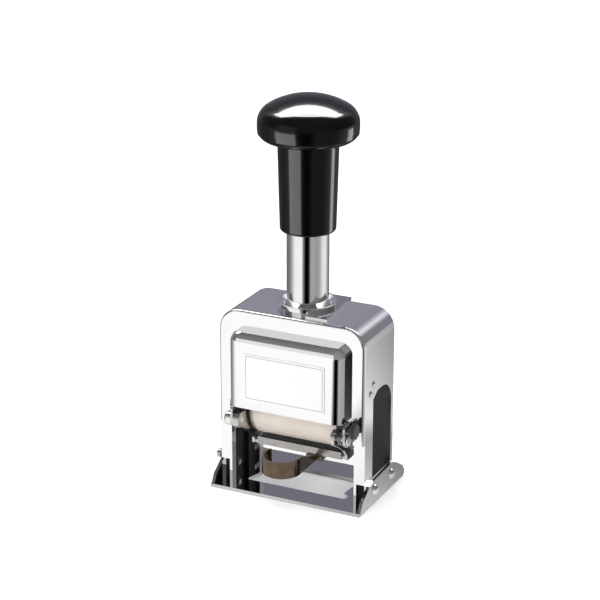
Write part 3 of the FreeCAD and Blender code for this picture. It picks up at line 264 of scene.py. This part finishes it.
towards = sky.node("ShaderNodeVectorMath", {"operation": "DOT_PRODUCT"},
                   {0: heading, 1: (math.sin(upright_azimuth), -math.cos(upright_azimuth), 0)}, "Value")
beside = sky.node("ShaderNodeVectorMath", {"operation": "DOT_PRODUCT"},
                  {0: heading, 1: (math.cos(upright_azimuth), math.sin(upright_azimuth), 0)}, "Value")
upright = ((towards * upright_spread - abs(beside)).over(0.0, 0.04)
           * (1 - sky.axes(heading)[2].over(upright_top, 0.05)))
softbox_strength = 4.5
upright_strength = 0.6
both_cards = softbox * softbox_strength + upright * upright_strength
lamp_glow = sky.node("ShaderNodeBackground", None, {0: (1.0, 1.0, 1.0, 1.0), 1: both_cards})
glossy_sky = sky.node("ShaderNodeAddShader", None, {0: mirrored_sky, 1: lamp_glow})
even_strength = 0.86
even_sky = sky.node("ShaderNodeBackground", None, {0: (0.98, 0.985, 1.0, 1.0), 1: even_strength})
rays = sky.node("ShaderNodeLightPath", None, None, "Is Glossy Ray")
both_skies = sky.node("ShaderNodeMixShader", None, {0: rays, 1: even_sky, 2: glossy_sky})
sky.node("ShaderNodeOutputWorld", None, {0: both_skies})


def hang_lamp(name, place, target, width, height, watts, only=()):
    """A soft lamp. With only, it lights just those pieces and is mirrored in them."""
    lamp = bpy.data.lights.new(name, "AREA")
    lamp.shape = "RECTANGLE"
    lamp.size = width
    lamp.size_y = height
    lamp.energy = watts
    holder = bpy.data.objects.new(name, lamp)
    holder.location = place
    holder.rotation_euler = (Vector(target) - Vector(place)).to_track_quat("-Z", "Y").to_euler()
    holder.visible_glossy = bool(only)
    holder.visible_camera = False
    bpy.context.scene.collection.objects.link(holder)
    if only:
        lit = bpy.data.collections.new(name + "_lights")
        for piece in only:
            lit.objects.link(bpy.data.objects[piece])
        holder.light_linking.receiver_collection = lit


hang_lamp("lamp_top", (-0.25, 0.05, 1.1), (0, 0, 0.05), width=0.9, height=0.9, watts=9.0)
hang_lamp("lamp_front", (0.55, -0.95, 0.75), (0, 0, 0.07), width=0.7, height=0.7, watts=7.0)


# The camera: the photograph's long lens, a little above the machine and to its right.
camera_distance = 0.8304
camera_target = Vector((-0.00284, -0.00136, 0.08047))
camera_roll = math.radians(0.14)
lens = bpy.data.cameras.new("camera")
lens.sensor_width = 36.0
lens.lens = 123.35
lens.clip_start = 0.05
lens.clip_end = 20.0
camera = bpy.data.objects.new("camera", lens)
backward = Vector((math.sin(view_azimuth) * math.cos(view_elevation),
                   -math.cos(view_azimuth) * math.cos(view_elevation), math.sin(view_elevation)))
camera.location = camera_target + backward * camera_distance
camera.rotation_mode = "QUATERNION"
camera.rotation_quaternion = (backward.to_track_quat("Z", "Y").to_matrix()
                              @ Matrix.Rotation(camera_roll, 3, "Z")).to_quaternion()
bpy.context.scene.collection.objects.link(camera)
bpy.context.scene.camera = camera
bpy.context.scene.view_settings.view_transform = "Standard"


# The arch, its front cover, base plate and the plain parts on them: pressed steel sheet, polished and
# bright chromed. Sheet keeps a slight waviness, and handling leaves faint smudges and hair scratches.
def chrome(name, tone=232, wave=0.00002, smudge=0.16, gloss=0.035):
    finish = Finish(name, metallic=1.0, specular_tint=grey(250))
    smudges = finish.grain(0.011, detail=4.0).over(0.62, 0.24)
    upright_hairs = finish.grain(0.0003, (1, 1, 40)).over(0.74, 0.1)
    level_hairs = finish.grain(0.0003, (40, 1, 1)).over(0.74, 0.1)
    scratches = upright_hairs + level_hairs
    finish.vary(base_color=finish.tint(finish.grain(0.03), grey(tone - 5), grey(tone + 4)),
                roughness=smudges * smudge * 0.4 + scratches * 0.05 + gloss)
    finish.relief(finish.grain(0.02, detail=1.0), wave)
    return finish


chrome("chrome_sheet", tone=243).onto("frame", "front_cover")
# The base plate and side stud take a darker copy of the same chrome: painted shade for the darker reflections
# on the plate and its ears.
chrome("chrome_foot_painted_shade", tone=190, wave=0.00003).onto("base_plate", "side_stud")


# Turned chrome: plunger tube, collar, ring nut, screws, rivets and pivot caps, bright from the lathe,
# with rings too fine to count and soft spots of wear.
def turned_chrome(name, tone=232, gloss=0.03, rings=0.00025, axis=(6, 6, 1)):
    finish = Finish(name, metallic=1.0)
    lathe = finish.grain(rings, tuple(part * 3 for part in axis))
    finish.vary(base_color=finish.tint(finish.grain(0.008), grey(tone - 6), grey(tone + 4)),
                roughness=finish.grain(0.006, detail=3.0) * 0.05 + lathe * 0.03 + gloss)
    finish.relief(lathe, 0.000002)
    return finish


turned_chrome("chrome_tube").onto("plunger_tube")
turned_chrome("chrome_collar").onto("collar", "collar_nut")
turned_chrome("chrome_fixings", axis=(1, 6, 6)).onto(
    "ear_screws", "wall_rivets", "pivot_pin_left", "pivot_pin_right")


# Lock plate: flat steel that slides on the arch's top. It is ground and nickelled, so a shade darker
# than the chrome.
chrome("lock_nickel", tone=205, gloss=0.12).onto("lock_plate")


# Handle: grip and two-part knob moulded in black plastic and buffed, with very fine swirls in the gloss.
# Three lamps light it alone, one for the knob's dome and one for each side.
handle_black = Finish("handle_black", specular_ior_level=0.22)
swirls = handle_black.grain(0.0008, (4, 4, 1), 3.0)
handle_black.vary(roughness=swirls * 0.06 + 0.1,
                  base_color=handle_black.tint(handle_black.grain(0.01), grey(9), grey(14)))
handle_black.relief(handle_black.grain(0.004), 0.000004)
handle_black.onto("knob_cap", "knob_base", "grip")
handle = ("knob_cap", "knob_base", "grip")
knob_up = (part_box("knob_cap")[0][2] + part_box("knob_cap")[1][2]) / 2


def around(azimuth, elevation, distance, up):
    """A place by its direction from the machine's axis, azimuth from the front towards the right."""
    turn, rise = math.radians(azimuth), math.radians(elevation)
    return (distance * math.sin(turn) * math.cos(rise), -distance * math.cos(turn) * math.cos(rise),
            up + distance * math.sin(rise))


side_up = 0.06
side_target = (0, 0, 0.09)
side_away = 0.22
side_high = 0.11
hang_lamp("lamp_dome", around(azimuth=25.6, elevation=114, distance=0.5, up=knob_up), (0, 0, knob_up),
          width=0.75, height=0.22, watts=17.0, only=handle)
hang_lamp("lamp_band_left", around(azimuth=-27, elevation=0, distance=side_away, up=side_up), side_target,
          width=0.2, height=side_high, watts=0.42, only=handle)
hang_lamp("lamp_band_right", around(azimuth=130, elevation=0, distance=side_away, up=side_up), side_target,
          width=0.07, height=side_high, watts=0.15, only=handle)


# Guide liners and selector: black moulded plastic. The liners are riveted inside the walls and have a
# fine matt texture, and the selector's knob is worn smoother by the fingers.
liner_black = Finish("liner_black", specular_ior_level=0.25)
liner_black.vary(base_color=liner_black.tint(liner_black.grain(0.004), grey(18), grey(25)),
                 roughness=liner_black.grain(0.0004) * 0.2 + 0.42)
liner_black.relief(liner_black.grain(0.00025), 0.00001)
liner_black.onto("side_liner_left", "side_liner_right")

selector_black = Finish("selector_black", specular_ior_level=0.5)
selector_black.vary(base_color=selector_black.tint(selector_black.grain(0.001), grey(30), grey(60)),
                    roughness=selector_black.grain(0.0006) * 0.2 + 0.25)
selector_black.onto("selector_knob")


# Inside parts: bridge, case sides and rods in zinc-plated steel, with the plating's faint spangle. The
# ear nuts are plated steel coloured dark, painted shade for the inside of the wall. The arms and yoke are
# nickelled and the tray's nickel is coloured darker, painted shade under the guard. The arm spring is
# bright and the combs brass.
def plated(name, dark, light, gloss=0.25, warm=0.0):
    finish = Finish(name, metallic=1.0)
    finish.vary(base_color=finish.tint(finish.grain(0.003, detail=4.0), grey(dark, warm), grey(light, warm)),
                roughness=finish.grain(0.0007, detail=3.0) * 0.2 + gloss)
    finish.relief(finish.grain(0.0005), 0.000003)
    return finish


plated("inner_zinc", 178, 196, warm=2).onto(
    "case_bridge", "case_side_left", "case_side_right", "guide_shoe_left", "guide_shoe_right",
    "tube_flange", "flange_screws", "tube_plug", "spring_bar", "spring_washer", "handle_screw", "shaft_clips",
    "tie_rod", "wheel_shaft")
# Ear nuts: plating coloured dark, painted shade for the dark inside of the wall.
plated("nut_painted_shade", 55, 80, 0.3, 2).onto("ear_nuts")
plated("arm_nickel", 185, 205, 0.12, 3).onto("pad_arm_left", "pad_arm_right", "pivot_bracket_left",
                                             "pivot_bracket_right", "pawl_yoke")
spring_bright = plated("spring_bright", 165, 190, 0.15)
spring_bright.onto("arm_spring")
plated("comb_brass", 175, 200, 0.2, 30).onto("detent_comb", "pawl_comb")
# Tray: the arms' nickel coloured darker, painted shade where it sits under the guard.
plated("tray_nickel_painted_shade", 150, 175, 0.16, 3).onto("pad_tray")


# Main spring: bright music wire wound in a long coil inside the plunger's tube. It stands on its washer.
spring_foot = 0.0582
spring_room = 0.0004
spring_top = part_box("return_spring")[1][2]
plunger_stroke = next(joint["range_m"][1] for joint in frame["record"]["behaviour"]["joints"]
                      if joint["name"] == "plunger_slide")
plug_at_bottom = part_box("tube_plug")[0][2] - plunger_stroke


def coil_of_spring(work):
    work.from_mesh(bpy.data.objects["return_spring"].data)
    bmesh.ops.remove_doubles(work, verts=work.verts, dist=0.000001)
    bmesh.ops.recalc_face_normals(work, faces=work.faces)


main_spring = new_piece("main_spring", coil_of_spring, spring_bright, smooth=180)
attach(main_spring, "stand")
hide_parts("return_spring")
(plug_at_bottom - spring_room - spring_foot) / (spring_top - spring_foot)
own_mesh(main_spring)


# Number wheels: nickelled steel rings. Each of the ten type faces carries one raised figure, cut from the
# steel and darkened by ink, set so that it prints the right way round to a user in front.
wheel_names = [f"number_wheel_{number}" for number in range(1, 9)]
plated("wheel_nickel", 170, 196, 0.18).onto(*wheel_names)
figure_steel = plated("figure_steel", 95, 140, 0.2, 2)
figure_wide = 0.0021
narrow_share = 0.55
figure_high = 0.0041
figure_rise = 0.00024
type_flat = 0.01222
type_middle = 0.0014
faces_round = 10


def figure_mesh(figure):
    """One raised figure, seen from above through the wheel's lowest type face, about the wheel's own axis."""
    letters = bpy.data.curves.new("figure", "FONT")
    letters.body = str(figure)
    letters.align_x = "CENTER"
    letters.align_y = "CENTER"
    letters.resolution_u = 3
    letters.extrude = 0.5
    holder = bpy.data.objects.new("figure", letters)
    bpy.context.scene.collection.objects.link(holder)
    bpy.context.view_layer.update()
    mesh = bpy.data.meshes.new_from_object(holder.evaluated_get(bpy.context.evaluated_depsgraph_get()))
    bpy.data.objects.remove(holder)
    bpy.data.curves.remove(letters)
    work = bmesh.new()
    work.from_mesh(mesh)
    bmesh.ops.remove_doubles(work, verts=work.verts, dist=0.0001)
    low = [min(point.co[axis] for point in work.verts) for axis in range(3)]
    high = [max(point.co[axis] for point in work.verts) for axis in range(3)]
    bmesh.ops.translate(work, verts=work.verts, vec=[-(low[axis] + high[axis]) / 2 for axis in range(3)])
    wide = figure_wide * (narrow_share if figure == 1 else 1.0)
    bmesh.ops.scale(work, verts=work.verts, vec=(wide / (high[0] - low[0]), figure_high / (high[1] - low[1]),
                                                 figure_rise / (high[2] - low[2])))
    bmesh.ops.translate(work, verts=work.verts, vec=(0, 0, -type_flat - figure_rise / 2))
    round_to_face = Matrix.Rotation(2 * math.pi * figure / faces_round, 3, "X")
    bmesh.ops.rotate(work, verts=work.verts, matrix=round_to_face)
    bmesh.ops.recalc_face_normals(work, faces=work.faces)
    work.to_mesh(mesh)
    work.free()
    return mesh


figures = [figure_mesh(figure) for figure in range(faces_round)]
for wheel in wheel_names:
    wheel_low, wheel_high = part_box(wheel)
    middle = (wheel_low[0] + type_middle, 0, (wheel_low[2] + wheel_high[2]) / 2)

    def ring_of_figures(work):
        for mesh in figures:
            work.from_mesh(mesh)
        bmesh.ops.translate(work, verts=work.verts, vec=middle)

    ring = new_piece(wheel + "_figures", ring_of_figures, figure_steel, smooth=30)
    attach(ring, wheel)


# Guard: a curved steel sheet fixed to the case before the wheels, painted cream, with the paint's faint
# unevenness.
guard_cream = Finish("guard_cream", specular_ior_level=0.5, coat_weight=0.3, coat_roughness=0.15)
paint_patches = guard_cream.grain(0.006, detail=3.0)
guard_cream.vary(base_color=guard_cream.tint(paint_patches, grey(205, 12), grey(213, 11)),
                 roughness=guard_cream.grain(0.0006) * 0.15 + 0.35)
guard_cream.relief(guard_cream.grain(0.0012), 0.000006)
guard_cream.onto("wheel_guard")


# Finger loop and its rivets: a bronzed steel strip, rolled to a ring for the fingertip and riveted to the
# pad's tray.
plated("loop_bronze", 68, 104, 0.09, 14).onto("finger_loop", "loop_rivets")


# Label plate: thin satin silvered alloy on the hood, brushed from side to side. Its place for a name is
# bare, inside a thin raised line.
label_silver = Finish("label_silver", metallic=0.6, specular_ior_level=0.4)
label_silver.vary(base_color=label_silver.tint(label_silver.grain(0.0002, (60, 1, 1)), grey(232), grey(244)),
                  roughness=label_silver.grain(0.0003, (60, 1, 1)) * 0.15 + 0.3)
label_silver.onto("label_plate")
line_grey = Finish("line_grey", metallic=0.5)
line_grey.vary(base_color=line_grey.tint(line_grey.grain(0.004), grey(128), grey(168)),
               roughness=line_grey.grain(0.0004) * 0.15 + 0.35)
line_inset = 0.0007
line_wide = 0.00022
line_rise = 0.00003
label_low, label_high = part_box("label_plate")


def frame_line(work):
    """A thin raised line, as a flat ring round the plate's edge."""
    half = [(label_high[axis] - label_low[axis]) / 2 - line_inset for axis in (0, 2)]
    bmesh.ops.create_grid(work, x_segments=1, y_segments=1, size=1.0)
    bmesh.ops.scale(work, verts=work.verts, vec=(half[0], half[1], 1))
    inner = list(work.faces)
    bmesh.ops.inset_region(work, faces=inner, thickness=line_wide, use_boundary=True, use_even_offset=True)
    bmesh.ops.delete(work, geom=inner, context="FACES")
    raised = bmesh.ops.extrude_face_region(work, geom=list(work.faces))
    tops = [item for item in raised["geom"] if isinstance(item, bmesh.types.BMVert)]
    bmesh.ops.translate(work, verts=tops, vec=(0, 0, line_rise))
    bmesh.ops.rotate(work, verts=work.verts, matrix=Matrix.Rotation(math.pi / 2, 3, "X"))
    bmesh.ops.translate(work, verts=work.verts, vec=((label_low[0] + label_high[0]) / 2, label_low[1],
                                                     (label_low[2] + label_high[2]) / 2))
    bmesh.ops.recalc_face_normals(work, faces=work.faces)


label_line = new_piece("label_line", frame_line, line_grey)
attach(label_line, "stand")


# Ink pad: a block of thick wool felt pressed into the tray, soaked with black ink and crowned a little,
# softest at its edges.
felt_ink = Finish("felt_ink", specular_ior_level=0.25, sheen_weight=0.25, sheen_roughness=0.6)
felt_ink.vary(base_color=felt_ink.tint(felt_ink.grain(0.0015, detail=4.0), grey(26), grey(52)),
              roughness=felt_ink.grain(0.0008, detail=4.0) * 0.25 + 0.6)
felt_ink.relief(felt_ink.grain(0.00035, detail=4.0), 0.00006)
felt_low, felt_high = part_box("ink_pad")
felt_edge = 0.0006
felt_crown = 0.0004


def felt_block(work):
    size = [felt_high[axis] - felt_low[axis] for axis in range(3)]
    bmesh.ops.create_cube(work, size=1.0, matrix=Matrix.Diagonal((*size, 1)))
    top = [edge for edge in work.edges if any(point.co.z > 0 for point in edge.verts)]
    bmesh.ops.bevel(work, geom=top, offset=felt_edge, segments=4, profile=0.5, affect="EDGES", material=-1)
    bmesh.ops.triangulate(work, faces=work.faces)
    bmesh.ops.subdivide_edges(work, edges=work.edges, cuts=5, use_grid_fill=True)
    for point in work.verts:
        if point.co.z > 0:
            edge = (abs(point.co.x) / size[0] * 2) ** 6 + (abs(point.co.y) / size[1] * 2) ** 6
            point.co.z -= felt_crown * min(edge, 1.0) * point.co.z / (size[2] / 2)
    felt_middle = [(felt_low[axis] + felt_high[axis]) / 2 for axis in range(3)]
    bmesh.ops.translate(work, verts=work.verts, vec=felt_middle)
    bmesh.ops.recalc_face_normals(work, faces=work.faces)


felt_pad = new_piece("felt_pad", felt_block, felt_ink, smooth=50)
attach(felt_pad, "pad_swing")
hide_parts("ink_pad")
